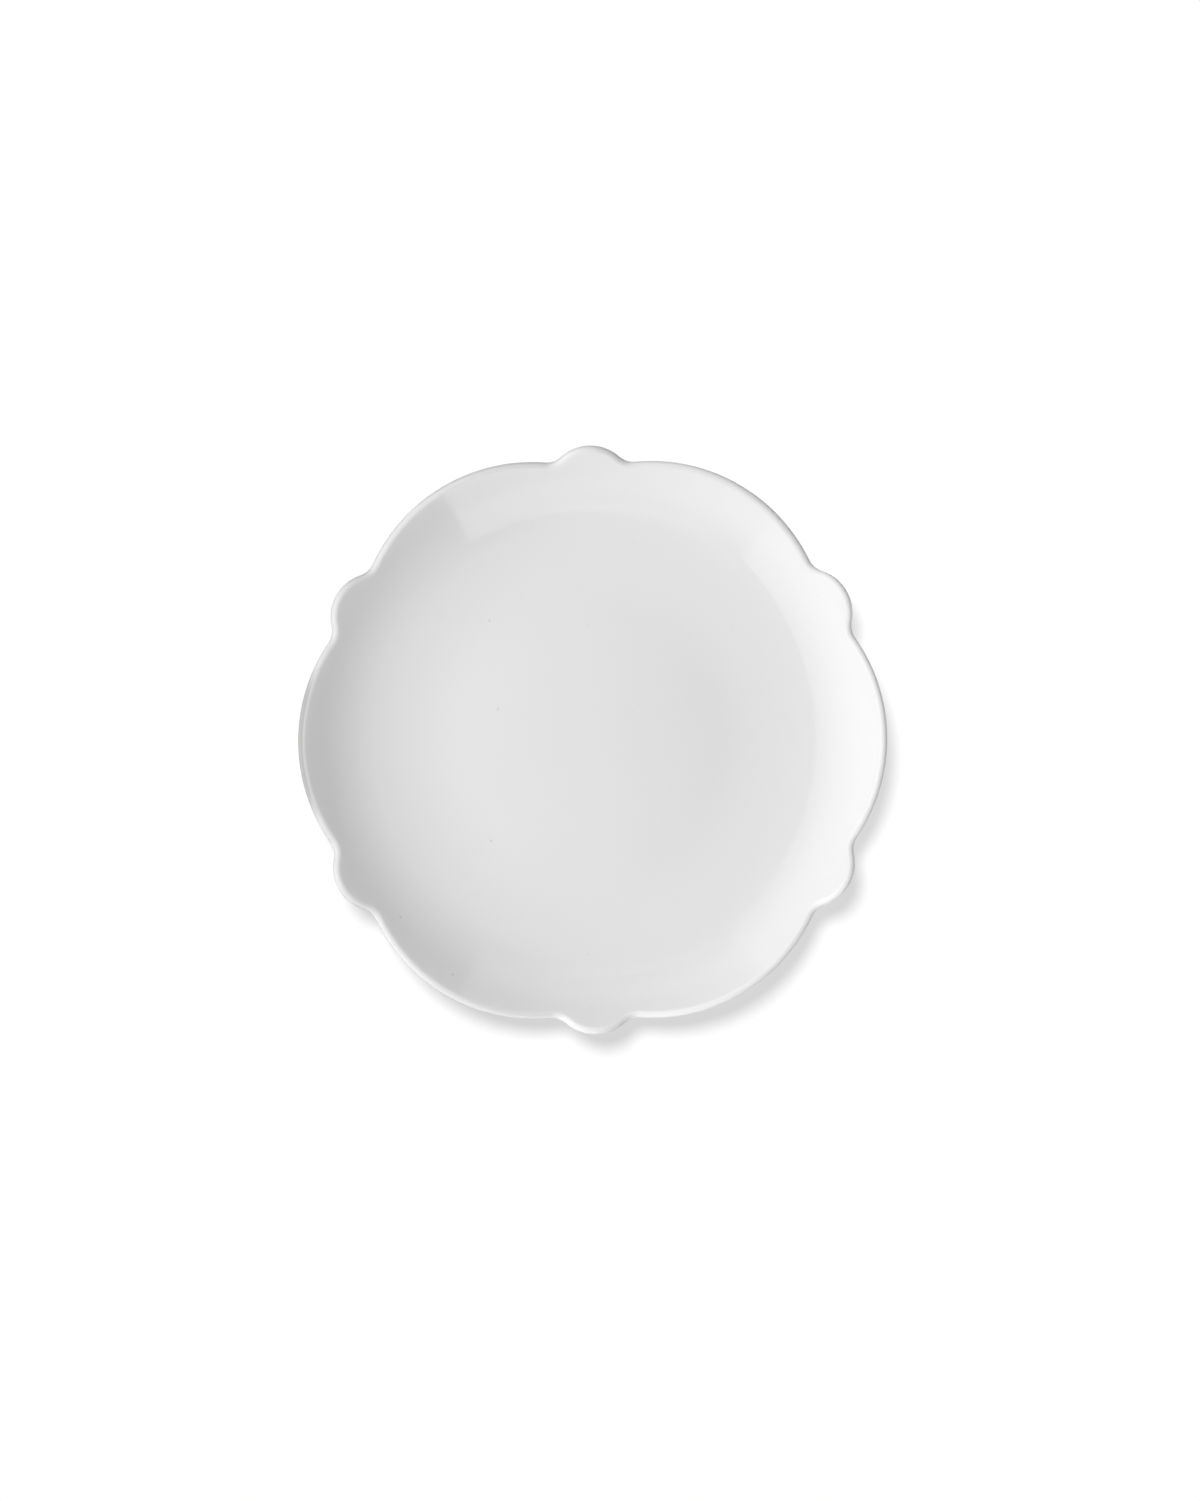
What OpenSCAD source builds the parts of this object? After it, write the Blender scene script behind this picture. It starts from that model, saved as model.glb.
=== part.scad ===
// Scalloped dessert plate in white glazed porcelain.
// It has one fired porcelain body, and a glass coat fused onto all of it but the edge of the foot.
// The origin is the middle of the circle that the foot stands on, and Z points up.

/* [Outline] */
// Diameter over the peaks of the lobes and the knobs
plate_d = 200; // [190:1:215]
// Number of wide lobes, with one knob between each two
lobes = 6; // [5:1:7]
// Radius of a lobe
lobe_r = 60.5; // [57:0.5:64]
// Radius of a knob
knob_r = 15; // [13:0.5:17]
// Radius of the hollow where a knob meets a lobe
hollow_r = 8; // [6:0.5:11]

/* [Wall] */
// Thickness of the floor, glaze included
floor_t = 4; // [3.2:0.1:5]
// Thickness of the wall from the shoulder to the rim, glaze included
rim_t = 3.2; // [2.6:0.1:4]
// Radius of the flat floor
floor_r = 42; // [36:1:48]
// Radius of the shoulder, where the slow rise of the floor ends and the wall turns up
shoulder_r = 75; // [70:1:80]
// Slope at the shoulder in degrees
shoulder_slope = 9; // [6:0.5:12]
// Radius where the wall stops turning up
wall_r = 92; // [86:1:93]
// Slope of the wall from there to the rim in degrees
wall_slope = 30; // [24:1:36]

/* [Foot] */
// Radius to the middle of the edge that the plate stands on
foot_r = 56; // [52:1:60]
// Width of that edge
foot_w = 2; // [1.4:0.1:3]
// How much wider each side of the foot gets above that edge
foot_taper = 0.4; // [0.2:0.1:0.6]
// Height of the base inside the foot above the table
foot_h = 2.4; // [2:0.1:3]
// Radius of the cove from the outside of the foot to the underside
cove_r = 3; // [2.4:0.1:3.2]
// Radius of the cove inside the foot
recess_cove_r = 1.5; // [1:0.1:1.7]

/* [Glaze] */
// Thickness of the glaze coat
glaze_t = 0.3; // [0.2:0.05:0.4]

/* [Hidden] */

// Straight steps along each lobe, knob and hollow of the outline
lobe_steps = 10;
knob_steps = 6;
hollow_steps = 2;
// Straight steps along the slow rise of the floor, the wall, the round of the lip and the cove
rise_steps = 2;
wall_steps = 4;
lip_steps = 6;
cove_steps = 2;
// How far a cut runs past the face that it opens
overrun = 1;

plate_r = plate_d / 2;
rim_half = rim_t / 2;
floor_half = floor_t / 2;

function direction(angle) = [cos(angle), sin(angle)];
function unit(v) = v / norm(v);
function reversed(list) = [for (i = [len(list) - 1:-1:0]) list[i]];

// The middle surface of the wall is turned about Z. Its section has a flat floor, a slow arc up to
// the shoulder, a tighter arc into the wall, and a straight stretch to the rim, each tangent to the last.
slow_r = (shoulder_r - floor_r) / sin(shoulder_slope);
tight_r = (wall_r - shoulder_r) / (sin(wall_slope) - sin(shoulder_slope));
shoulder_rise = slow_r * (1 - cos(shoulder_slope));
wall_rise = shoulder_rise + tight_r * (cos(shoulder_slope) - cos(wall_slope));

function slope(r) =
    r <= floor_r ? 0 :
    r <= shoulder_r ? asin((r - floor_r) / slow_r) :
    r <= wall_r ? asin(sin(shoulder_slope) + (r - shoulder_r) / tight_r) :
    wall_slope;

function rise(r) =
    r <= floor_r ? 0 :
    r <= shoulder_r ? slow_r * (1 - cos(slope(r))) :
    r <= wall_r ? shoulder_rise + tight_r * (cos(shoulder_slope) - cos(slope(r))) :
    wall_rise + (r - wall_r) * tan(wall_slope);

// Half of the thickness, which goes from the floor's to the rim's along the slow rise
function half_t(r) =
    let (share = min(1, max(0, (r - floor_r) / (shoulder_r - floor_r))))
    floor_half + (rim_half - floor_half) * share;

// A place p in plan lifted to the middle surface, and the surface's upward normal there
function lifted(p) = [p.x, p.y, foot_h + floor_half + rise(norm(p))];
function upward(p) =
    let (s = slope(norm(p)), out = p / norm(p) * sin(s))
    [-out.x, -out.y, cos(s)];

// The outline is a ring of arcs tangent to each other. Angles are those of the outward normal, so a
// hollow, which bends the other way, has a negative radius.
half_sector = 180 / lobes;
lobe_centre = [plate_r - lobe_r, 0];
knob_centre = (plate_r - knob_r) * direction(half_sector);
lobe_to_knob = knob_centre - lobe_centre;
lobe_reach = lobe_r + hollow_r;
knob_reach = knob_r + hollow_r;
lobe_half_angle = atan2(lobe_to_knob.y, lobe_to_knob.x)
    - acos((lobe_to_knob * lobe_to_knob + lobe_reach ^ 2 - knob_reach ^ 2)
        / (2 * norm(lobe_to_knob) * lobe_reach));
hollow_centre = lobe_centre + lobe_reach * direction(lobe_half_angle);
knob_to_hollow = hollow_centre - knob_centre;
knob_half_angle = half_sector - atan2(knob_to_hollow.y, knob_to_hollow.x);

function across_knob(p) =
    let (axis = direction(half_sector))
    2 * (p * axis) * axis - p;

// Each arc has its centre, its radius, its first and last angle and its number of steps
sector_arcs = [
    [lobe_centre, lobe_r, -lobe_half_angle, lobe_half_angle, lobe_steps],
    [hollow_centre, -hollow_r, lobe_half_angle, half_sector - knob_half_angle, hollow_steps],
    [knob_centre, knob_r, half_sector - knob_half_angle, half_sector + knob_half_angle, knob_steps],
    [across_knob(hollow_centre), -hollow_r, half_sector + knob_half_angle,
        2 * half_sector - lobe_half_angle, hollow_steps]
];

function turned(p, angle) =
    [p.x * cos(angle) - p.y * sin(angle), p.x * sin(angle) + p.y * cos(angle)];

// The angle of the outward normal at each point of the outline, and the point itself
outline = [
    for (k = [0:lobes - 1], arc = sector_arcs, i = [0:arc[4] - 1])
        let (
            angle = arc[2] + (arc[3] - arc[2]) * i / arc[4],
            turn = 2 * half_sector * k
        )
        [angle + turn, turned(arc[0] + arc[1] * direction(angle), turn)]
];

// The middle of the lip's round lies half a thickness inside the outline
lip_line = [for (o = outline) o[1] - rim_half * direction(o[0])];

// A ring of places in plan: circles from the floor to the shoulder, then ever more of the outline
function circle_ring(r) = [for (o = outline) r * unit(o[1])];
function wall_ring(share) =
    [for (i = [0:len(outline) - 1])
        (1 - share) * shoulder_r * unit(outline[i][1]) + share * lip_line[i]];

// The same ring on the upper face (side 1) or the lower one (side -1), under a coat
function face_ring(ring, side, coat) =
    [for (p = ring) lifted(p) + side * (half_t(norm(p)) - coat) * upward(p)];

// The lip is a half round, square to the rim's own edge, from the upper face to the lower one
function lip_ring(turn, coat) =
    [for (i = [0:len(outline) - 1])
        let (
            p = lip_line[i],
            up = upward(p),
            along = direction(outline[i][0] + 90),
            edge = unit([along.x, along.y, tan(slope(norm(p))) * (along * unit(p))])
        )
        lifted(p) + (rim_half - coat) * (cos(turn) * up + sin(turn) * cross(edge, up))];

// The cove starts on the underside, tangent to it, and ends upright on the outside of the foot
foot_out_r = foot_r + foot_w / 2 + foot_taper;
root_slope = slope(foot_out_r + cove_r);
root_r = foot_out_r + cove_r
    - (cove_r + half_t(foot_out_r + cove_r) - glaze_t) * sin(root_slope);
root_depth = half_t(root_r) - glaze_t + cove_r;
cove_centre_r = root_r + root_depth * sin(slope(root_r));
cove_centre_z = lifted([root_r, 0]).z - root_depth * cos(slope(root_r));

function cove_ring(share, coat) =
    let (
        first = 90 + slope(root_r),
        side = (cove_r + coat - glaze_t) * direction(first + (180 - first) * share)
    )
    [for (p = circle_ring(cove_centre_r + side.x)) [p.x, p.y, cove_centre_z + side.y]];

// All rings of one skin: from the floor over the lip and down to the end of the cove
function skin(coat) = concat(
    [for (i = [0:rise_steps])
        face_ring(circle_ring(floor_r + (shoulder_r - floor_r) * i / rise_steps), 1, coat)],
    [for (i = [1:wall_steps]) face_ring(wall_ring(i / wall_steps), 1, coat)],
    [for (i = [1:lip_steps]) lip_ring(180 * i / lip_steps, coat)],
    [for (i = [wall_steps - 1:-1:0]) face_ring(wall_ring(i / wall_steps), -1, coat)],
    [for (i = [0:cove_steps]) cove_ring(i / cove_steps, coat)]
);

// The edge of the foot, on the table
foot_edge = [for (p = circle_ring(foot_r + foot_w / 2)) [p.x, p.y, 0]];

// A closed solid through a list of rings, with a flat cap on the first and the last
module loft(rings) {
    n = len(rings[0]);
    last = len(rings) - 1;
    strips = [
        for (k = [0:last - 1], i = [0:n - 1])
            let (
                a = k * n + i,
                b = k * n + (i + 1) % n
            )
            each [[a, b, b + n], [a, b + n, a + n]]
    ];
    caps = [[for (i = [n - 1:-1:0]) i], [for (i = [0:n - 1]) last * n + i]];
    polyhedron(points = [for (ring = rings) each ring], faces = concat(strips, caps));
}

// The glaze stops at the same height on both sides of the foot, and the edge below it is bare
bare_z = cove_centre_z;
foot_in_r = foot_r - foot_w / 2 - foot_taper;

// The recess turned into the foot, less a coat, from a low height up to the base
module recess(coat, low) {
    side_r = foot_in_r - coat;
    round_r = recess_cove_r - coat;
    top_z = foot_h + glaze_t - coat;
    rotate_extrude($fn = 180) {
        translate([0, low])
            square([side_r, top_z - round_r - low]);
        translate([0, low])
            square([side_r - round_r, top_z - low]);
        intersection() {
            translate([side_r - round_r, top_z - round_r])
                circle(round_r, $fn = 48);
            square([side_r, top_z]);
        }
    }
}

// The bare mouth of the recess, which tapers the inside of the foot down to its edge
module recess_mouth() {
    flare = foot_taper / bare_z;
    translate([0, 0, -overrun])
        cylinder(
            h = overrun + bare_z,
            r1 = foot_in_r + flare * (overrun + bare_z),
            r2 = foot_in_r,
            $fn = 180
        );
}

module porcelain_body() {
    color("whitesmoke")
        difference() {
            loft(concat(skin(glaze_t), [foot_edge]));
            recess(0, -overrun);
            recess_mouth();
        }
}

module upper_glaze() {
    color("white")
        loft(concat(skin(0), reversed(skin(glaze_t))));
}

module base_glaze() {
    color("white")
        difference() {
            recess(0, bare_z);
            recess(glaze_t, bare_z - overrun);
        }
}

porcelain_body();
upper_glaze();
base_glaze();
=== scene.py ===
# %% [markdown]
# # A scalloped dessert plate in white glazed porcelain
#
# The real plate is one piece of porcelain. It is pressed on a turning mould, its rim is cut into six wide
# lobes with a round knob between each two, and it is fired, dipped in glaze and fired again.
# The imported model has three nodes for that: the porcelain body, the glaze over its top and sides, and the
# glaze inside the foot. This lesson makes each of them again with finer curves, in the same place, and
# then gives them their finish, a floor, soft light and a camera.

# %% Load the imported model
from math import acos, asin, atan2, cos, degrees, pi, radians, sin, sqrt, tan

import bmesh
import bpy
from mathutils import Matrix, Vector


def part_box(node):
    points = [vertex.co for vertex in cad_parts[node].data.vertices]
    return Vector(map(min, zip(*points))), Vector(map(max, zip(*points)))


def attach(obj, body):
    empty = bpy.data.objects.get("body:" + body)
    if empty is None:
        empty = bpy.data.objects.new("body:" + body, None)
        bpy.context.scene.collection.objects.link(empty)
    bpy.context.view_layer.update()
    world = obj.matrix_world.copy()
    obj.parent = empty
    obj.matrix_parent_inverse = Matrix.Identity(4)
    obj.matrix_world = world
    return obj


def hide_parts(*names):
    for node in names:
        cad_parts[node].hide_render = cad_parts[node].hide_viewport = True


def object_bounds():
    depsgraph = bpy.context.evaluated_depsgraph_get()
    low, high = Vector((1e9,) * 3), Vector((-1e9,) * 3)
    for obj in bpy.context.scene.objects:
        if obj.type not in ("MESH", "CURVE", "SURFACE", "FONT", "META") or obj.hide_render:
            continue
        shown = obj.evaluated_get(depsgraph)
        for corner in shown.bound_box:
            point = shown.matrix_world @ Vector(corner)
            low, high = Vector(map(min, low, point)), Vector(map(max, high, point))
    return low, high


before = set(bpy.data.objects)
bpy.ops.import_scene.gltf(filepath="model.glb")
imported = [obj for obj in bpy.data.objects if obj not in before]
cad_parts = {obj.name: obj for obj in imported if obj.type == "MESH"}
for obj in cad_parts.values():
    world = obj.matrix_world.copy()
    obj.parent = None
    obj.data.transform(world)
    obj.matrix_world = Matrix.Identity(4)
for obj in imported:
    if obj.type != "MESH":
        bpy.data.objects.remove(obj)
cad_low, cad_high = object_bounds()
plate_r = cad_high.x
print("nodes:", sorted(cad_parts))
print("the plate is", round(2000 * plate_r, 2), "mm across and", round(1000 * cad_high.z, 2), "mm high")

# %% [markdown]
# ## The wall as one curve
#
# Seen from the side, the plate is a shallow bowl: a flat floor, a slow rise to the shoulder, a tighter
# turn upwards, and a straight stretch to the rim. It could be drawn by hand as a spline, but a potter's
# template is made of arcs that run into each other without a corner. So the middle of the wall's
# thickness is described here by its slope at each radius, which never jumps.
# All lengths are in metres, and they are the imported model's own.

# %% Slope, height and thickness of the wall
floor_r = 0.042
shoulder_r = 0.075
wall_r = 0.092
shoulder_slope = radians(9)
wall_slope = radians(30)
floor_t = 0.004
rim_t = 0.0032
foot_h = 0.0024

rim_half = rim_t / 2
slow_r = (shoulder_r - floor_r) / sin(shoulder_slope)
tight_r = (wall_r - shoulder_r) / (sin(wall_slope) - sin(shoulder_slope))
shoulder_rise = slow_r * (1 - cos(shoulder_slope))
wall_rise = shoulder_rise + tight_r * (cos(shoulder_slope) - cos(wall_slope))


def slope(r):
    """The slope of the middle of the wall at radius r."""
    if r <= floor_r:
        return 0.0
    if r <= shoulder_r:
        return asin((r - floor_r) / slow_r)
    if r <= wall_r:
        return asin(sin(shoulder_slope) + (r - shoulder_r) / tight_r)
    return wall_slope


def middle_z(r):
    """The height of the middle of the wall above the table at radius r."""
    floor_z = foot_h + floor_t / 2
    if r <= floor_r:
        return floor_z
    if r <= shoulder_r:
        return floor_z + slow_r * (1 - cos(slope(r)))
    if r <= wall_r:
        return floor_z + shoulder_rise + tight_r * (cos(shoulder_slope) - cos(slope(r)))
    return floor_z + wall_rise + (r - wall_r) * tan(wall_slope)


def half_thickness(r):
    """Half of the wall's thickness, which goes from the floor's to the rim's along the slow rise."""
    share = min(1, max(0, (r - floor_r) / (shoulder_r - floor_r)))
    return (floor_t + (rim_t - floor_t) * share) / 2


for r in (floor_r, shoulder_r, wall_r, plate_r):
    print(f"at {1000 * r:.0f} mm: slope {degrees(slope(r)):.1f} degrees, {1000 * middle_z(r):.2f} mm up")

# %% [markdown]
# ## The scalloped outline
#
# The rim of the real plate is six wide arcs, six small round knobs, and a short hollow on each side of a
# knob that leads from one into the other. Each arc touches the next without a corner. A drawn curve
# would only come close to that, so the outline is worked out: three circles that touch each other give
# the twelfth part that repeats, and the rest is its mirror image and its turns about the middle.

# %% Circles of the outline
lobes = 6
lobe_r = 0.0605
knob_r = 0.015
hollow_r = 0.008


def ray(angle):
    """A step of one metre from the middle, in plan."""
    return Vector((cos(angle), sin(angle)))


half_sector = pi / lobes
lobe_centre = (plate_r - lobe_r) * ray(0)
knob_centre = (plate_r - knob_r) * ray(half_sector)
to_knob = knob_centre - lobe_centre
lobe_reach = lobe_r + hollow_r
knob_reach = knob_r + hollow_r
corner = acos((to_knob.length_squared + lobe_reach**2 - knob_reach**2) / (2 * to_knob.length * lobe_reach))
hollow_centre = lobe_centre + lobe_reach * ray(atan2(to_knob.y, to_knob.x) - corner)
lobe_end = lobe_centre.lerp(hollow_centre, lobe_r / lobe_reach)
knob_end = knob_centre.lerp(hollow_centre, knob_r / knob_reach)
print(f"a lobe ends {degrees(atan2(lobe_end.y, lobe_end.x)):.1f} degrees from its middle,")
print(f"and a knob {degrees(half_sector - atan2(knob_end.y, knob_end.x)):.1f} degrees from its own")

# %% [markdown]
# To cut a rim, one has to know for any direction from the middle where the outline is, and which way its
# edge faces. The direction is first folded into the small stretch between a lobe's middle and a knob's
# middle. Then the ray meets one circle, and the answer is folded back.

# %% Where the outline is, and which way it faces


def circle_met(direction, centre, radius, side):
    """The point where a ray from the middle meets a circle: its far side (1) or its near side (-1)."""
    along = direction.dot(centre)
    half_chord = sqrt(radius**2 - centre.length_squared + along**2)
    return (along + side * half_chord) * direction


def turned_in_plan(v, turn):
    """A vector in plan turned as far as the ray turn is from the first axis."""
    return Vector((v.x * turn.x - v.y * turn.y, v.x * turn.y + v.y * turn.x))


def outline(angle):
    """The point of the outline in the direction of angle, and the direction that faces outwards there."""
    sector = round(angle / (2 * half_sector))
    folded = angle - sector * 2 * half_sector
    direction = ray(abs(folded))
    if abs(folded) <= atan2(lobe_end.y, lobe_end.x):
        point = circle_met(direction, lobe_centre, lobe_r, 1)
        facing = (point - lobe_centre) / lobe_r
    elif abs(folded) >= atan2(knob_end.y, knob_end.x):
        point = circle_met(direction, knob_centre, knob_r, 1)
        facing = (point - knob_centre) / knob_r
    else:
        point = circle_met(direction, hollow_centre, hollow_r, -1)
        facing = (hollow_centre - point) / hollow_r
    if folded < 0:
        point.y = -point.y
        facing.y = -facing.y
    back = ray(sector * 2 * half_sector)
    return turned_in_plan(point, back), turned_in_plan(facing, back)


print("the deepest place of the outline is", round(1000 * lobe_end.length, 2), "mm from the middle")

# %% [markdown]
# ## Sections as rows of spots
#
# A spot on the wall is told by three numbers: the radius where it lies on the middle of the wall, how
# far it stands up from there, and how far it stands out towards the rim, which only the lip needs. Told
# in this way, a spot can be put on a round plate first and moved to the scalloped one afterwards.
#
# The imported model's lip is half a circle. In the picture the bright top of the lip is broad and its dark
# outer edge is thin, so the real lip is taken to be flatter on top and tighter at the edge. It is made
# here of three arcs that touch each other, all within three tenths of a millimetre of the half circle:
# the top, the nose, and the underside, whose radius follows from where the nose ends and the lower face
# lies. How far round the lip a spot is, is its turn, from the upper face at 0 to the lower face at half a
# turn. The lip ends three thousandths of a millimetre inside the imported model's edge.
#
# A coat is a depth under the finished face: 0 for the face of the glaze, the glaze's thickness for the
# face of the porcelain under it.

# %% The spots of one skin of the wall
glaze_t = 0.0003
lip_line_r = plate_r - rim_half


def stretch(first, last, steps):
    """Even steps from first to last, without first itself."""
    return [first + (last - first) * i / steps for i in range(1, steps + 1)]


def face_spots(radii, side, coat):
    """Spots at these radii on the upper face (side 1) or the lower face (side -1)."""
    return [(r, side * (half_thickness(r) - coat), 0.0) for r in radii]


def lip_way(turn):
    """The direction that the lip faces at this turn, as outwards and up from the wall."""
    return Vector((sin(turn), cos(turn)))


lip_top_r = 0.003
lip_nose_r = 0.000875
top_end = radians(40)
nose_end = pi / 2 + wall_slope

top_centre = Vector((0, rim_half - lip_top_r))
nose_centre = top_centre + (lip_top_r - lip_nose_r) * lip_way(top_end)
nose = nose_centre + lip_nose_r * lip_way(nose_end)
lip_under_r = (nose.y + rim_half) / (1 + cos(nose_end))
under_centre = nose - lip_under_r * lip_way(nose_end)
edge_gap = 3e-6
nose_reach = (rim_half + nose.y * sin(wall_slope)) / cos(wall_slope)
lip_shift = Vector((nose_reach - nose.x - edge_gap, 0))
lip_arcs = [
    (top_centre + lip_shift, lip_top_r, 0, top_end),
    (nose_centre + lip_shift, lip_nose_r, top_end, nose_end),
    (under_centre + lip_shift, lip_under_r, nose_end, pi),
]
lip_start = (top_centre + lip_shift).x
lip_end = (under_centre + lip_shift).x
lip_reach = (nose + lip_shift).x


def lip_spots(steps, coat):
    """Spots round the lip, from its start on the upper face to its end on the lower one."""
    spots = []
    for centre, radius, first, last in lip_arcs:
        for turn in stretch(first, last, steps):
            out, up = centre + (radius - coat) * lip_way(turn)
            spots.append((lip_line_r, up, out))
    return spots


def blank_point(spot):
    """Where a spot lies on a plate with a round rim, in the plane of the section."""
    r, up, out = spot
    s = slope(r)
    return Vector((r - up * sin(s) + out * cos(s), 0, middle_z(r) + up * cos(s) + out * sin(s)))


print("the lip starts", round(1000 * (plate_r - blank_point((lip_line_r, rim_half, lip_start)).x), 2),
      "mm inside the edge, and its underside has a radius of", round(1000 * lip_under_r, 2), "mm")

# %% [markdown]
# Under the plate, a quarter round leads from the lower face into the foot, so that no glaze is caught in
# a corner. Its middle follows from where it touches the lower face and the outside of the foot.

# %% The cove between the wall and the foot
foot_r = 0.056
foot_w = 0.002
foot_taper = 0.0004
cove_r = 0.003

foot_out_r = foot_r + foot_w / 2 + foot_taper
foot_in_r = foot_r - foot_w / 2 - foot_taper
near_root_r = foot_out_r + cove_r
root_r = near_root_r - (cove_r + half_thickness(near_root_r) - glaze_t) * sin(slope(near_root_r))
root_depth = half_thickness(root_r) - glaze_t + cove_r
cove_centre_r = root_r + root_depth * sin(slope(root_r))
bare_z = middle_z(root_r) - root_depth * cos(slope(root_r))


def cove_points(steps, coat):
    """Points down the cove, from the lower face to the outside of the foot, where the glaze stops."""
    radius = cove_r + coat - glaze_t
    first = pi / 2 + slope(root_r)
    turns = [first] + stretch(first, pi, steps)
    return [Vector((cove_centre_r + radius * cos(t), 0, bare_z + radius * sin(t))) for t in turns]


print("the glaze stops", round(1000 * bare_z, 2), "mm above the table; the packed model says",
      round(1000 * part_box("upper_glaze")[0].z, 2), "mm")

# %% [markdown]
# One skin runs from the middle of the floor over the lip and down to the end of the cove. The numbers of
# steps are chosen so that no edge shows: many on the lip, which turns half way round in five millimetres,
# and few on the floor. The upper face of the wall ends where the lip's first arc begins, and the lower
# face starts where its last arc ends.

# %% The points and spots of one whole skin
rise_steps = 8
wall_steps = 14
lip_steps = 8
cove_steps = 6


def skin(coat, fineness=1.0):
    """A row of pairs, each a point on the round blank and its spot, or None where nothing will move."""
    wholes = (rise_steps, wall_steps, lip_steps, cove_steps)
    on_rise, on_wall, on_lip, on_cove = [max(2, round(whole * fineness)) for whole in wholes]
    up_radii = [0, floor_r / 2, floor_r]
    up_radii += stretch(floor_r, shoulder_r, on_rise)
    up_radii += stretch(shoulder_r, lip_line_r + lip_start * cos(wall_slope), on_wall)
    down_radii = stretch(lip_line_r + lip_end * cos(wall_slope), shoulder_r, on_wall)
    down_radii += stretch(shoulder_r, root_r, on_rise // 2)[:-1]
    spots = face_spots(up_radii, 1, coat) + lip_spots(on_lip, coat)
    spots += face_spots(down_radii, -1, coat)
    row = [(blank_point(spot), spot) for spot in spots]
    return row + [(point, None) for point in cove_points(on_cove, coat)]


print("one skin has", len(skin(0)), "points")

# %% [markdown]
# ## From a section to a scalloped piece
#
# A plate is turned before it is cut, and so it is here. The spin operator turns a section about the
# middle, but only through one sector, from the middle of a lobe to the middle of the next. That sector's
# rim is then cut by moving points: each one knows its place in the section by a number that the spin
# copies along with it, and only the wall beyond the shoulder moves. A second number says how far a point
# stands out on the lip, from 0 to 1, because the glaze looks different there.
# The finished sector is copied round the plate, which is much quicker than a full turn of so many steps.
# Points that now lie on each other, at the seams and in the middle, are merged, and only then are the
# normals calculated again, because a spin can turn a shape inside out.

# %% Turn a section, scallop it and repeat it
sector_steps = 120
merge_distance = 1e-6


def lip_share(spot):
    """How far a spot stands out on the lip, from 0 on the wall to 1 at the edge."""
    if spot is None or not spot[2]:
        return 0
    return max(0, spot[2] - lip_start) / (lip_reach - lip_start)


def scalloped_point(spot, angle):
    """Where a spot lies on the scalloped plate, in the direction of angle."""
    r, up, out = spot
    edge_point, facing = outline(angle)
    share = (r - shoulder_r) / (lip_line_r - shoulder_r)
    plan = (shoulder_r * ray(angle)).lerp(edge_point - rim_half * facing, share)
    s = slope(plan.length)
    outward = plan.normalized()
    upward = Vector((-outward.x * sin(s), -outward.y * sin(s), cos(s)))
    along = Vector((-facing.y, facing.x))
    edge = Vector((along.x, along.y, tan(s) * along.dot(outward))).normalized()
    return Vector((plan.x, plan.y, middle_z(plan.length))) + up * upward + out * edge.cross(upward)


def turned(row):
    """A closed bmesh of the row, turned about the middle, with the rim scalloped."""
    bm = bmesh.new()
    number = bm.verts.layers.int.new("number")
    lip = bm.verts.layers.float.new("lip")
    verts = []
    for i, (point, spot) in enumerate(row):
        vert = bm.verts.new(point)
        vert[number] = i
        vert[lip] = lip_share(spot)
        verts.append(vert)
    line = verts + [bm.edges.new(pair) for pair in zip(verts, verts[1:])]
    middle = (0, 0, 0)
    turn = 2 * half_sector
    bmesh.ops.spin(bm, geom=line, cent=middle, axis=(0, 0, 1), angle=turn, steps=sector_steps)
    for vert in bm.verts:
        spot = row[vert[number]][1]
        if spot is not None and spot[0] > shoulder_r:
            vert.co = scalloped_point(spot, atan2(vert.co.y, vert.co.x))
    sector = bm.verts[:] + bm.edges[:] + bm.faces[:]
    for i in range(1, lobes):
        copied = bmesh.ops.duplicate(bm, geom=sector)["geom"]
        moved = [part for part in copied if isinstance(part, bmesh.types.BMVert)]
        bmesh.ops.rotate(bm, verts=moved, cent=middle, matrix=Matrix.Rotation(turn * i, 3, "Z"))
    bmesh.ops.remove_doubles(bm, verts=bm.verts, dist=merge_distance)
    bmesh.ops.recalc_face_normals(bm, faces=bm.faces)
    return bm


def ring_edges(bm, i):
    """The edges of the ring that one point of the row was spun into."""
    number = bm.verts.layers.int["number"]
    return [e for e in bm.edges if all(v[number] == i for v in e.verts)]


def softened(bm, rings, width, segments):
    """Rounds the edges of these rings, as firing and handling do."""
    edges = [e for i in rings for e in ring_edges(bm, i)]
    bmesh.ops.bevel(
        bm, geom=edges, offset=width, segments=segments, profile=0.5, affect="EDGES", material=-1
    )
    return bm


def piece(name, bm, slot, *nodes):
    """Makes the bmesh an object that rides on the plate's one body and stands for these nodes."""
    mesh = bpy.data.meshes.new(name)
    bm.to_mesh(mesh)
    bm.free()
    mesh.shade_smooth()
    made = bpy.data.objects.new(name, mesh)
    bpy.context.scene.collection.objects.link(made)
    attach(made, "root")
    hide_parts(*nodes)
    low, high = (Vector(made.bound_box[0]), Vector(made.bound_box[6]))
    print(name, "has", len(mesh.polygons), "faces; box in mm",
          [round(1000 * v, 2) for v in low], [round(1000 * v, 2) for v in high])
    return made

# %% [markdown]
# ## The glaze over the top and the sides
#
# The glaze is a coat of glass about a third of a millimetre thick. It could be left out and only the
# porcelain given a gloss, but then the plate would have no bare edge under it. So it is a closed shell:
# the row goes over the outer skin, and back along the skin of the porcelain. The hidden inner skin has
# fewer steps. Where the glaze stops above the foot it is drawn to a round edge, as molten glass is.

# %% Top glaze
hidden_fineness = 0.6
drawn_round = 0.6 * glaze_t
drawn_segments = 3

outer = skin(0)
inner = skin(glaze_t, hidden_fineness)
glaze_row = outer + inner[::-1]
glaze_mesh = turned(glaze_row)
softened(glaze_mesh, [len(outer) - 1], drawn_round, drawn_segments)
top_glaze = piece("top_glaze", glaze_mesh, "glaze", "upper_glaze")

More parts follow.
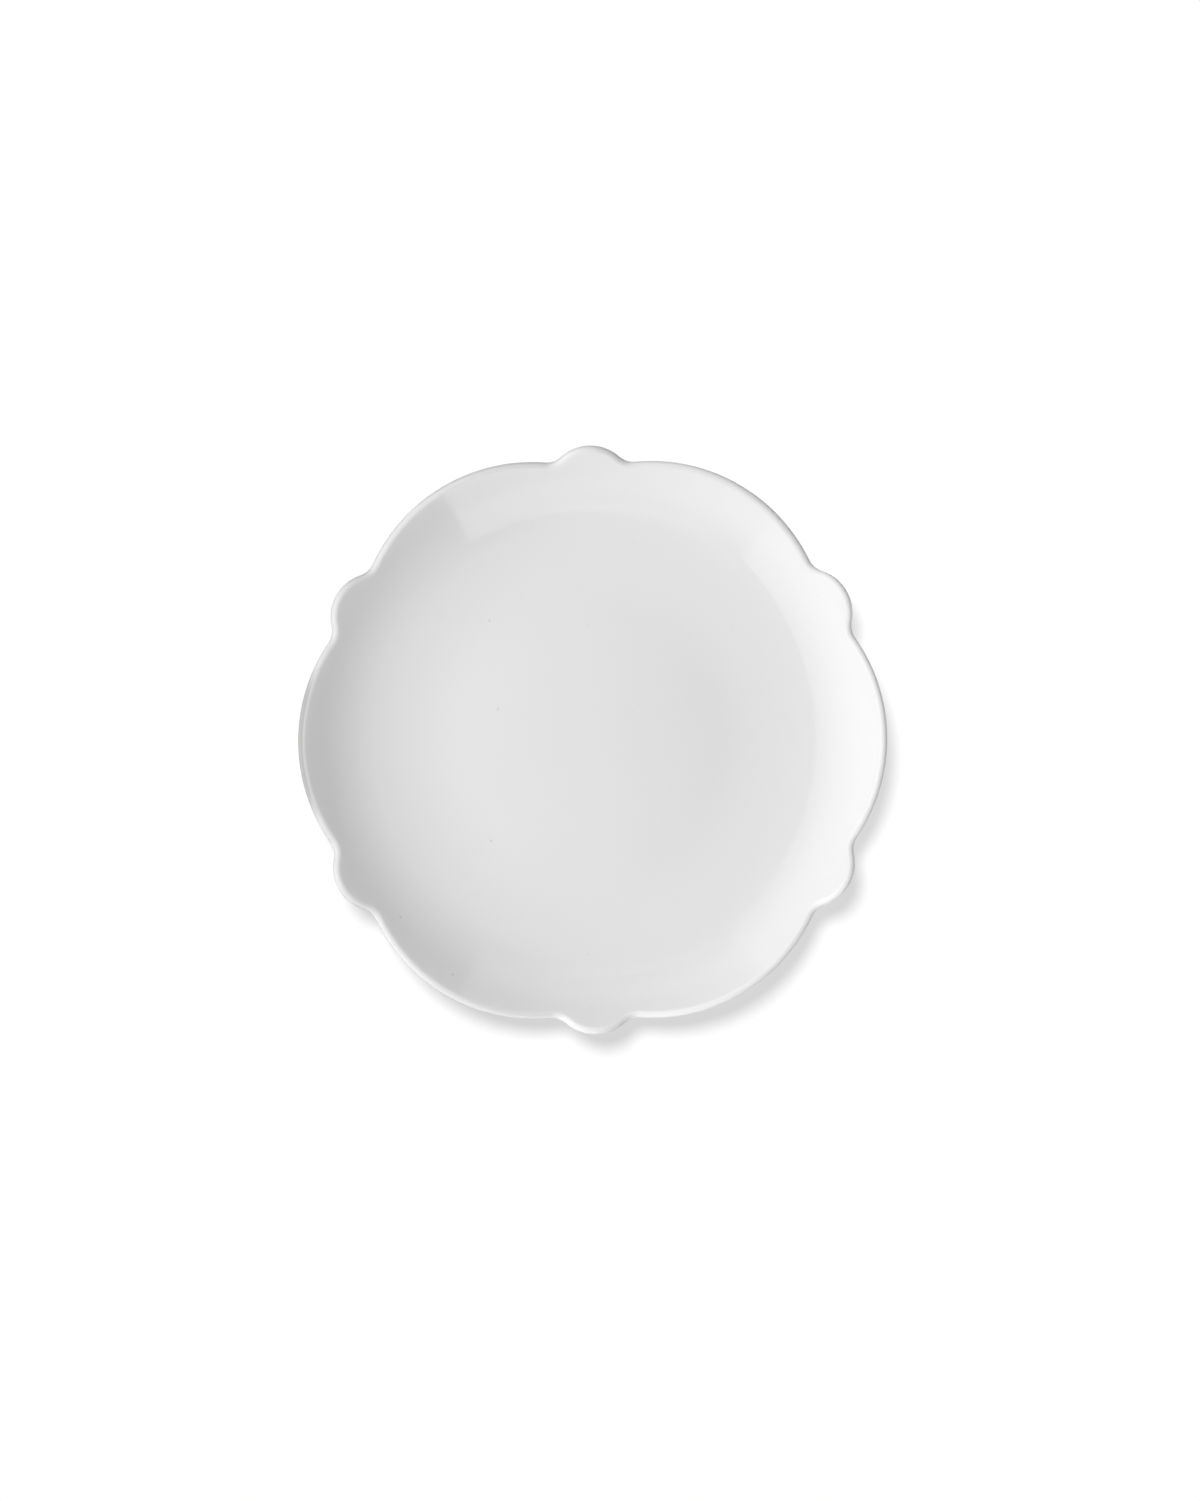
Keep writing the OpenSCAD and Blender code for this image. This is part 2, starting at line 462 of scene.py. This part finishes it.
# %% [markdown]
# ## The porcelain body
#
# The body is solid. Its row goes over the porcelain's skin, down the outside of the foot, across the edge
# that the plate stands on, and up into the recess under the floor. The two corners of that edge are
# sponged round before firing, which the bevel operator does here.

# %% Porcelain body
recess_cove_r = 0.0015
recess_z = foot_h + glaze_t
recess_steps = 8
sponged_round = 0.0004
sponged_segments = 4


def recess_points(coat):
    """Points up the side of the recess, round its cove, and along its roof to the middle."""
    side_r = foot_in_r - coat
    round_r = recess_cove_r - coat
    roof_z = recess_z - coat
    centre_r = side_r - round_r
    centre_z = roof_z - round_r
    turns = [0] + stretch(0, pi / 2, recess_steps)
    points = [Vector((side_r, 0, bare_z))]
    points += [Vector((centre_r + round_r * cos(t), 0, centre_z + round_r * sin(t))) for t in turns]
    return points + [Vector((floor_r / 2, 0, roof_z)), Vector((0, 0, roof_z))]


body_row = skin(glaze_t)
foot_start = len(body_row)
foot_edge = [Vector((foot_r + foot_w / 2, 0, 0)), Vector((foot_r - foot_w / 2, 0, 0))]
body_row += [(point, None) for point in foot_edge + recess_points(0)]
body_mesh = turned(body_row)
softened(body_mesh, [foot_start, foot_start + 1], sponged_round, sponged_segments)
porcelain = piece("porcelain", body_mesh, "porcelain", "porcelain_body")

# %% [markdown]
# ## The glaze inside the foot
#
# The recess is glazed too, down to the same height as outside, so the edge that touches the table is the
# only bare porcelain. It is made like the top glaze, from the side of the porcelain back to the face.

# %% Base glaze
base_outer = recess_points(0)
base_inner = recess_points(glaze_t)
base_points = base_outer[::-1] + base_inner
base_mesh = turned([(point, None) for point in base_points])
softened(base_mesh, [len(base_outer)], drawn_round, drawn_segments)
base_glaze = piece("recess_glaze", base_mesh, "glaze", "base_glaze")

# %% [markdown]
# ## Writing materials as sums
#
# A finish is a network of shader nodes. Wiring them one by one hides what they say, so one small class
# stands for a socket: sums and products of such signals and numbers add the Math nodes. A second class is
# the material being made, and one method of it adds any other node. The rest of its methods are short
# names for what each finish here needs.

# %% A socket that can be reckoned with


class Signal:
    """A value that changes over the surface."""

    def __init__(self, finish, socket):
        self.finish = finish
        self.socket = socket

    def __add__(self, other):
        return self.finish.maths("ADD", self, other)

    def __sub__(self, other):
        return self.finish.maths("SUBTRACT", self, other)

    def __rsub__(self, other):
        return self.finish.maths("SUBTRACT", other, self)

    def __mul__(self, other):
        return self.finish.maths("MULTIPLY", self, other)

    def __pow__(self, other):
        return self.finish.maths("POWER", self, other)

    __radd__ = __add__
    __rmul__ = __mul__


# %% A finish and its nodes
class Finish:
    """A material being made."""

    def __init__(self, name):
        self.material = bpy.data.materials.new(name)
        self.material.use_nodes = True
        self.tree = self.material.node_tree
        self.tree.nodes.clear()

    def node(self, kind, settings, sockets, output=0):
        """Adds a node: its type, its settings, then the values or links of its sockets."""
        made = self.tree.nodes.new(kind)
        for name, value in settings.items():
            setattr(made, name, value)
        for name, value in sockets.items():
            if isinstance(value, Signal):
                self.tree.links.new(value.socket, made.inputs[name])
            else:
                made.inputs[name].default_value = value
        return Signal(self, made.outputs[output]) if made.outputs else None

    def maths(self, operation, *terms):
        """A Math node on signals and numbers."""
        return self.node("ShaderNodeMath", {"operation": operation}, dict(enumerate(terms)))

    def place(self):
        """Where a point of the surface lies on the object."""
        return self.node("ShaderNodeTexCoord", {}, {}, "Object")

    def parts(self, place):
        """The three coordinates of a place."""
        return [self.node("ShaderNodeSeparateXYZ", {}, {"Vector": place}, i) for i in range(3)]

    def noise(self, place, size, detail=2.0):
        """A soft cloud from 0 to 1 whose patches are about this size."""
        return self.node("ShaderNodeTexNoise", {}, {"Vector": place, "Scale": 1 / size, "Detail": detail})

    def ramp(self, value, low, high):
        """0 below low, 1 above high, and smooth between them."""
        settings = {"interpolation_type": "SMOOTHSTEP"}
        return self.node("ShaderNodeMapRange", settings, {"Value": value, "From Min": low, "From Max": high})

    def blend(self, share, first, second):
        """The first colour where share is 0, and the second where it is 1."""
        sockets = {"Factor": share, 6: first, 7: second}
        return self.node("ShaderNodeMix", {"data_type": "RGBA"}, sockets, 2)

    def bumped(self, *heights):
        """A normal bent by heights in metres."""
        normal = None
        for height in heights:
            sockets = {"Height": height, "Distance": 1.0, "Strength": 1.0}
            if normal is not None:
                sockets["Normal"] = normal
            normal = self.node("ShaderNodeBump", {}, sockets)
        return normal

    def surface(self, **sockets):
        """The principled surface, with its sockets named in words joined by underscores."""
        named = {name.replace("_", " "): value for name, value in sockets.items()}
        return self.node("ShaderNodeBsdfPrincipled", {}, named)

    def done(self, shader):
        """Ends the material in this shader."""
        self.node("ShaderNodeOutputMaterial", {}, {"Surface": shader})
        return self.material


print("the classes are ready")

# %% [markdown]
# ## White glaze
#
# Fired white glaze is glass over white clay: a clean white, a sharp gloss, and a face that is never quite
# flat, because it ran while it was molten. One flat white with a gloss would look like plastic. What tells
# glaze apart is small, so each of these is a mask or a height of its own:
# - a cloud in the white, a few centimetres across
# - a thinner coat on the lip, where glaze runs off the edge and the clay shows through a little
# - painted shade: a darker edge on the upper left of the lip, and painted light: a whiter lip on the lower
#   right
# - painted shade: a greyer stretch of the lip on the far left
# - a deeper and cooler coat in the cove and the recess, where it ran together
# - a few soft specks of kiln dust that sank in, most of them on the left
# - slow waves and a fine skin in the gloss, and faint turning rings inside the foot
#
# The draining and the holding are guesses. The marks on the edge and on the lower right and the far left of
# the lip are painted shade and painted light: the lip is darker on one side and whiter on the other than
# the lights further down make it, and one picture can't tell whether that is colour or light.
#
# The specks come from a Voronoi texture in plan. Every cell has one centre, at a random place, and only the
# cells that drew a high number keep a speck there. In plan a speck on the steep edge would be drawn out
# into a line, so they fade out on the lip.

# %% Masks of the glaze
# A pair with "lip" in its name says how far out on the lip a mask starts and where it is full.
deepest_glaze_z = 0.003
shallow_glaze_z = 0.0055
# Painted shade: a greyer stretch on the far left of the lip.
left_lip_shade_from_x = 0.0925
left_lip_shade_to_x = 0.0975
left_shade_lip = (0.4, 0.8)
# Painted shade on the upper left of the lip's edge, and painted light on the lower right of the lip.
painted_shade_way = Vector((-0.87, 0.5, 0))
painted_lip_reach = 0.08
edge_shade_lip = (0.7, 1.0)
painted_light_lip = (0.0, 0.4)
dusty_from_x = -0.04
dusty_to_x = 0.02
dust_swept = 0.8
speckless_lip = (0.3, 0.6)
speck_cell = 0.016
speck_core = 0.0002
speck_edge = 0.0006
speck_draw = 0.8


def pooled(finish, z):
    """1 low on the foot, where glaze runs together, and 0 above."""
    return 1 - finish.ramp(z, deepest_glaze_z, shallow_glaze_z)


def painted_left_lip_shade(finish, x, lip):
    """1 on the far left of the lip, where shade is painted."""
    return finish.ramp(-1 * x, left_lip_shade_from_x, left_lip_shade_to_x) * finish.ramp(lip, *left_shade_lip)


def painted_lip_shade_and_light(finish, place, lip):
    """Two masks: 1 on the upper left of the lip's edge, where shade is painted, and 1 on the lower right of
    the lip, where light is painted.
    """
    sockets = {0: place, 1: painted_shade_way}
    along = finish.node("ShaderNodeVectorMath", {"operation": "DOT_PRODUCT"}, sockets, "Value")
    edge_shade = finish.ramp(along, 0.0, painted_lip_reach) * finish.ramp(lip, *edge_shade_lip)
    lip_light = finish.ramp(-1 * along, 0.0, painted_lip_reach) * finish.ramp(lip, *painted_light_lip)
    return edge_shade, lip_light


def specks(finish, place):
    """1 in a speck, 0 outside."""
    settings = {"voronoi_dimensions": "2D"}
    sockets = {"Vector": place, "Scale": 1 / speck_cell}
    to_centre = finish.node("ShaderNodeTexVoronoi", settings, sockets, "Distance")
    drawn = finish.node("ShaderNodeTexVoronoi", settings, sockets, "Color")
    kept = finish.maths("GREATER_THAN", finish.parts(drawn)[0], speck_draw)
    return kept * (1 - finish.ramp(to_centre * speck_cell, speck_core, speck_edge))


print("one speck in", round(1e6 * speck_cell**2 / (1 - speck_draw)), "square mm")

# %% Colours and sizes of the glaze
cloud_dim = (0.79, 0.79, 0.79, 1)
cloud_bright = (0.81, 0.81, 0.81, 1)
lip_white = (0.75, 0.745, 0.735, 1)
lip_tint = 0.4
# Painted shade on the upper left of the lip's edge, and painted light on the lower right of the lip.
edge_shade_grey = (0.66, 0.655, 0.645, 1)
lip_light_white = (0.92, 0.92, 0.92, 1)
# Painted shade on the far left of the lip.
left_lip_shade_grey = (0.42, 0.415, 0.405, 1)
left_lip_shade_tint = 0.9
pool_white = (0.765, 0.775, 0.78, 1)
dust_grey = (0.42, 0.41, 0.40, 1)
dust_tint = 0.35
gloss = 0.05
wave_dulls = 0.03
lip_dulls = 0.05
dust_dulls = 0.1
cloud_size = 0.045
wave_size = 0.018
wave_height = 12e-6
skin_size = 0.0012
skin_height = 0.6e-6
ring_step = 0.0024
ring_height = 3e-6
print("the waves are", round(1e6 * wave_height), "thousandths of a millimetre high")

# %% The white glaze


def white_glaze():
    """The material of both coats."""
    finish = Finish("white_glaze")
    place = finish.place()
    x, y, z = finish.parts(place)
    radius = (x**2 + y**2) ** 0.5
    lip = finish.node("ShaderNodeAttribute", {"attribute_name": "lip"}, {}, "Fac")
    pool = pooled(finish, z)
    dust = specks(finish, place) * (1 - finish.ramp(lip, *speckless_lip))
    dust = dust * (1 - dust_swept * finish.ramp(x, dusty_from_x, dusty_to_x))
    edge_shade, lip_light = painted_lip_shade_and_light(finish, place, lip)
    cloud = finish.noise(place, cloud_size)
    wave = finish.noise(place, wave_size, 1)

    white = finish.blend(cloud, cloud_dim, cloud_bright)
    white = finish.blend(lip_tint * lip**2, white, lip_white)
    # Painted shade on the upper left of the lip's edge, then painted light on the lower right of the lip.
    white = finish.blend(edge_shade, white, edge_shade_grey)
    white = finish.blend(lip_light, white, lip_light_white)
    # Painted shade on the far left of the lip.
    white = finish.blend(left_lip_shade_tint * painted_left_lip_shade(finish, x, lip), white, left_lip_shade_grey)
    white = finish.blend(pool, white, pool_white)
    white = finish.blend(dust_tint * dust, white, dust_grey)
    rough = gloss + wave_dulls * wave + lip_dulls * lip + dust_dulls * dust

    rings = finish.maths("SINE", radius * (2 * pi / ring_step)) * pool
    normal = finish.bumped(
        wave_height * wave + ring_height * rings,
        skin_height * finish.noise(place, skin_size, 1),
    )
    return finish.done(finish.surface(Base_Color=white, Roughness=rough, IOR=1.5, Normal=normal))


glaze_finish = white_glaze()
for made in (top_glaze, base_glaze):
    made.data.materials.append(glaze_finish)
print("the glaze has", len(glaze_finish.node_tree.nodes), "nodes")

# %% [markdown]
# ## Bare porcelain
#
# The edge of the foot is wiped before firing, or the glaze would stick it to the kiln shelf. So the clay
# itself shows there: matt, a little warmer than the glaze, and with a grain that a finger can feel. Tables
# and other plates leave grey rubs on it, but only on the lowest tenths of a millimetre, so that mask is a
# height above the table times a patchy cloud.

# %% The bare porcelain
grain_size = 0.0003
grain_height = 8e-6
rub_size = 0.004
rub_low = 0.0001
rub_high = 0.0005
patch_from = 0.42
patch_to = 0.62
clay_dark = (0.68, 0.665, 0.64, 1)
clay_light = (0.78, 0.77, 0.745, 1)
rub_grey = (0.4, 0.395, 0.385, 1)
rub_tint = 0.3
matt = 0.6
grain_dulls = 0.15
rub_polishes = 0.2


def bare_porcelain():
    """The material of the fired clay."""
    finish = Finish("bare_porcelain")
    place = finish.place()
    z = finish.parts(place)[2]
    grain = finish.noise(place, grain_size, 3)
    patch = finish.ramp(finish.noise(place, rub_size, 3), patch_from, patch_to)
    rub = (1 - finish.ramp(z, rub_low, rub_high)) * patch
    clay = finish.blend(grain, clay_dark, clay_light)
    tone = finish.blend(rub_tint * rub, clay, rub_grey)
    rough = matt + grain_dulls * grain - rub_polishes * rub
    normal = finish.bumped(grain_height * grain)
    return finish.done(finish.surface(Base_Color=tone, Roughness=rough, Normal=normal))


porcelain_finish = bare_porcelain()
porcelain.data.materials.append(porcelain_finish)
print("the bare porcelain has", len(porcelain_finish.node_tree.nodes), "nodes")

# %% [markdown]
# ## Floor
#
# In the picture the plate stands on a sheet that is pure white, all but the plate's shadow. A white sheet
# under a lamp could do that, but the white plate above it throws so much light back down that its shadow
# fills up and almost goes. So the paper is only a fifth white, which throws little light on. It glows by
# itself with about two thirds of the white that is seen, and a lamp, which comes with the other lights,
# gives the rest. Only the lamp's part is missing in the shadow.
#
# What the camera sees of the sheet and what the sheet gives the plate are two different things here. The
# edge of the plate is darker on the left and brighter on the right, so the sheet gives it a glow that
# grows from nothing on the left to its most on the right. From below the sheet is clear, so that the foot
# can be looked at.

# %% The floor
glow_seen = 0.63
glow_given = 1.05
glow_reach = 0.12
paper_dark = (0.19, 0.19, 0.19, 1)
paper_light = (0.21, 0.21, 0.21, 1)
fibre_size = 0.0015
no_glow = (0, 0, 0, 1)
white_glow = (1, 1, 1, 1)
sheet_r = 4
sheet_sides = 96


def white_sheet():
    """The material of the paper under the plate."""
    finish = Finish("white_sheet")
    place = finish.place()
    fibre = finish.noise(place, fibre_size, 4)
    paper = finish.blend(fibre, paper_dark, paper_light)
    seen = finish.surface(
        Base_Color=paper, Roughness=0.9, Specular_IOR_Level=0.0,
        Emission_Color=white_glow, Emission_Strength=glow_seen,
    )
    sockets = {"Value": finish.parts(place)[0], "From Min": -glow_reach, "From Max": glow_reach}
    share = finish.node("ShaderNodeMapRange", {}, sockets)
    glow = finish.blend(share, no_glow, white_glow)
    given = finish.node("ShaderNodeEmission", {}, {"Color": glow, "Strength": glow_given})
    clear = finish.node("ShaderNodeBsdfTransparent", {}, {})
    to_camera = finish.node("ShaderNodeLightPath", {}, {}, "Is Camera Ray")
    from_below = finish.node("ShaderNodeNewGeometry", {}, {}, "Backfacing")
    above = finish.node("ShaderNodeMixShader", {}, {0: to_camera, 1: given, 2: seen})
    return finish.done(finish.node("ShaderNodeMixShader", {}, {0: from_below, 1: above, 2: clear}))


def stage(name, bm, finish):
    """Makes the bmesh an object of the studio with this finish, not attached to the plate's body."""
    mesh = bpy.data.meshes.new(name)
    bm.to_mesh(mesh)
    bm.free()
    mesh.materials.append(finish)
    made = bpy.data.objects.new(name, mesh)
    bpy.context.scene.collection.objects.link(made)
    return made


floor_mesh = bmesh.new()
bmesh.ops.create_circle(floor_mesh, cap_ends=True, radius=sheet_r, segments=sheet_sides)
floor = stage("floor", floor_mesh, white_sheet())
print("the floor faces", "up" if floor.data.polygons[0].normal.z > 0 else "down")

# %% [markdown]
# ## Light
#
# A glossy white plate shows its light twice: as soft shading, and as a faint mirror image of whatever
# glows. In the picture the wall is dim on the left and bright on the right, so most light comes from the
# left, and no lamp is mirrored as a hard spot, so it comes from large soft faces. So the plate stands in a
# tent of glowing cloths about half a metre away: one on the left, one at the back and one in front, with
# more high overhead.
# The right side is open and dark, apart from a low strip that lights the edge there. The back and front
# cloths end with an upright edge, and the two sharp lines in the gloss, at the upper left and the lower
# left of the wall, mirror those edges. The faint corners in the gloss, at the upper right and the lower
# right, mirror the corners of the left cloth.
#
# How brightly each corner of a cloth glows was found by trying: the plate was rendered with one corner
# glowing at a time, the pictures were added up in the shares that came closest to the photograph, and
# those shares, rounded, are the numbers below. No share was let above 2.6, or above 1.8 at the foot of a
# cloth. Without limits the sum comes closer to this one photograph, but parts of the plate's underside
# burned out to plain white. A large part of the well still does when it is looked at from the right and
# almost level, because the gloss mirrors the left cloth there.
#
# Each cloth is an area light. Its power is pi times its area, which makes it glow with a brightness of 1.
# A small network then gives each of its four corners a brightness of its own, with an even change between
# them, as cloths have that are lit from behind by a lamp that isn't quite in their middle.

# %% One cloth of the tent
def cloth(name, corner, across, up, foot_glows, head_glows):
    """A glowing cloth from a corner across and up. Each pair of glows is for its first and its last end."""
    corner, across, up = Vector(corner), Vector(across), Vector(up)
    middle = corner + (across + up) / 2
    away = across.cross(up).normalized()
    if away.dot(middle) < 0:
        away = -away
        across = -across
        foot_glows = foot_glows[::-1]
        head_glows = head_glows[::-1]
    data = bpy.data.lights.new(name, "AREA")
    data.shape = "RECTANGLE"
    data.size = across.length
    data.size_y = up.length
    data.energy = pi * data.size * data.size_y
    data.use_nodes = True
    tree = data.node_tree
    spot = tree.nodes.new("ShaderNodeNewGeometry")
    parts = tree.nodes.new("ShaderNodeSeparateXYZ")
    tree.links.new(spot.outputs["Parametric"], parts.inputs["Vector"])
    upwards = tree.nodes.new("ShaderNodeMapRange")
    tree.links.new(parts.outputs["Y"], upwards.inputs["Value"])
    for glows, end in ((foot_glows, "To Min"), (head_glows, "To Max")):
        sideways = tree.nodes.new("ShaderNodeMapRange")
        tree.links.new(parts.outputs["X"], sideways.inputs["Value"])
        sideways.inputs["To Min"].default_value = glows[0]
        sideways.inputs["To Max"].default_value = glows[1]
        tree.links.new(sideways.outputs["Result"], upwards.inputs[end])
    tree.links.new(upwards.outputs["Result"], tree.nodes["Emission"].inputs["Strength"])
    made = bpy.data.objects.new(name, data)
    bpy.context.scene.collection.objects.link(made)
    axes = Matrix((across.normalized(), up.normalized(), away)).transposed()
    made.matrix_world = Matrix.Translation(middle) @ axes.to_4x4()
    made.visible_camera = False
    return made


# %% The tent
back_y = 0.5
front_y = -0.5
back_corner_x = -0.344
front_corner_x = -0.42
back_end_x = 0.266
front_end_x = 0.3
foot_z = 0.05
waist_z = 0.55
head_z = 1.37
right_x = 0.5
right_end_y = -0.45
right_foot_z = 0.02
right_height = 0.08
cloths = []


def wall(name, start, end, foot_glows, waist_glows, head_glows):
    """Two cloths, one above the other, from start to end in plan."""
    across = (end[0] - start[0], end[1] - start[1], 0)
    lower = (0, 0, waist_z - foot_z)
    upper = (0, 0, head_z - waist_z)
    cloths.append(cloth(name + "_low", (*start, foot_z), across, lower, foot_glows, waist_glows))
    cloths.append(cloth(name + "_high", (*start, waist_z), across, upper, waist_glows, head_glows))


front_corner = (front_corner_x, front_y)
back_corner = (back_corner_x, back_y)
wall("left", front_corner, back_corner, (1.8, 1.8), (1.81, 2.46), (1.67, 1.01))
wall("back", back_corner, (back_end_x, back_y), (0, 0), (1.88, 1.09), (0, 0.45))
wall("front", front_corner, (front_end_x, front_y), (1.8, 0), (1.18, 2.28), (0, 1.12))
right_corner = (right_x, right_end_y, right_foot_z)
right_width = (0, -2 * right_end_y, 0)
cloths.append(cloth("right", right_corner, right_width, (0, 0, right_height), (1.5, 0), (0, 0)))

roof_half = 0.7
roof = ((-0.45, 0), (-0.3, 0.82), (0, 0.79), (0.2, 0))
for i, ((x1, glow1), (x2, glow2)) in enumerate(zip(roof, roof[1:])):
    glows = (glow1, glow2)
    width = (x2 - x1, 0, 0)
    depth = (0, 2 * roof_half, 0)
    cloths.append(cloth(f"roof_{i}", (x1, -roof_half, head_z), width, depth, glows, glows))
print(len(cloths), "cloths, from", foot_z, "to", head_z, "m above the floor")

# %% [markdown]
# The shadow on the floor tells of another light: it falls to the lower right and has a soft edge, so a
# wide round lamp stands high up at the upper left. If that lamp lit the plate too, it would show in the
# gloss as a bright spot, which the picture doesn't have. So the tent is linked to the plate alone, and the
# lamp to the floor alone. The plate still throws its shadow there. A sun lamp is used, because it lights
# the whole floor evenly, and its angle is the width that the lamp seems to have.

# %% The floor's lamp, and what lights what
shadow_azimuth = radians(120)
shadow_elevation = radians(66.5)
shadow_angle = radians(20)
shadow_lamp_strength = 6.4


def lit_only(name, lamps, things):
    """Lets these lamps light only these things."""
    group = bpy.data.collections.new(name)
    for thing in things:
        group.objects.link(thing)
    for lamp in lamps:
        lamp.light_linking.receiver_collection = group


lamp_data = bpy.data.lights.new("floor_lamp", "SUN")
lamp_data.angle = shadow_angle
lamp_data.energy = shadow_lamp_strength
floor_lamp = bpy.data.objects.new("floor_lamp", lamp_data)
bpy.context.scene.collection.objects.link(floor_lamp)
floor_lamp.rotation_euler = (0, pi / 2 - shadow_elevation, shadow_azimuth)
lit_only("plate", cloths, (top_glaze, porcelain, base_glaze))
lit_only("sheet", (floor_lamp,), (floor,))
print("the lamp stands", round(degrees(shadow_elevation), 1), "degrees high")

# %% [markdown]
# Around all this is a plain pale room, for the views from the side. It is there for the camera alone, and
# sheds no light: the network gives it a strength of 1 for a ray from the camera and 0 for any other.

# %% The pale room
world = bpy.data.worlds.new("pale_room")
world.use_nodes = True
room = world.node_tree.nodes["Background"].inputs
to_camera = world.node_tree.nodes.new("ShaderNodeLightPath").outputs["Is Camera Ray"]
room["Color"].default_value = white_glow
world.node_tree.links.new(to_camera, room["Strength"])
bpy.context.scene.world = world
bpy.context.scene.view_settings.view_transform = "Standard"
print("the room is set")

# %% [markdown]
# ## Camera
#
# The picture looks straight down: the outline is as wide as it is high, and the rim hides nothing on any
# side. A long lens from far away keeps it so. The middle of the plate and its radius were measured in the
# picture in pixels, and they place the camera: one metre at the height of the rim is so many pixels, the
# lens and the sensor turn that into a distance, and the camera moves sideways until the plate's middle
# falls on its pixel. The plate is turned by half a degree in the picture, so the camera turns the other
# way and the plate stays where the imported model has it.

# %% Camera
picture_w = 1200
picture_h = 1501
sensor = 0.036
lens = 0.1
middle_px = (592.9, 740.0)
radius_px = 294.4
plate_turn = radians(0.55)

lip_z = middle_z(lip_line_r)
metres_per_px = plate_r / radius_px
distance = lens / sensor * picture_h * metres_per_px
camera_data = bpy.data.cameras.new("camera")
camera_data.sensor_width = 1000 * sensor
camera_data.lens = 1000 * lens
camera = bpy.data.objects.new("camera", camera_data)
bpy.context.scene.collection.objects.link(camera)
camera.location = (
    (picture_w / 2 - middle_px[0]) * metres_per_px,
    (middle_px[1] - picture_h / 2) * metres_per_px,
    lip_z + distance,
)
camera.rotation_euler = (0, 0, -plate_turn)
bpy.context.scene.camera = camera
print("the camera is", round(distance, 3), "m above the rim")
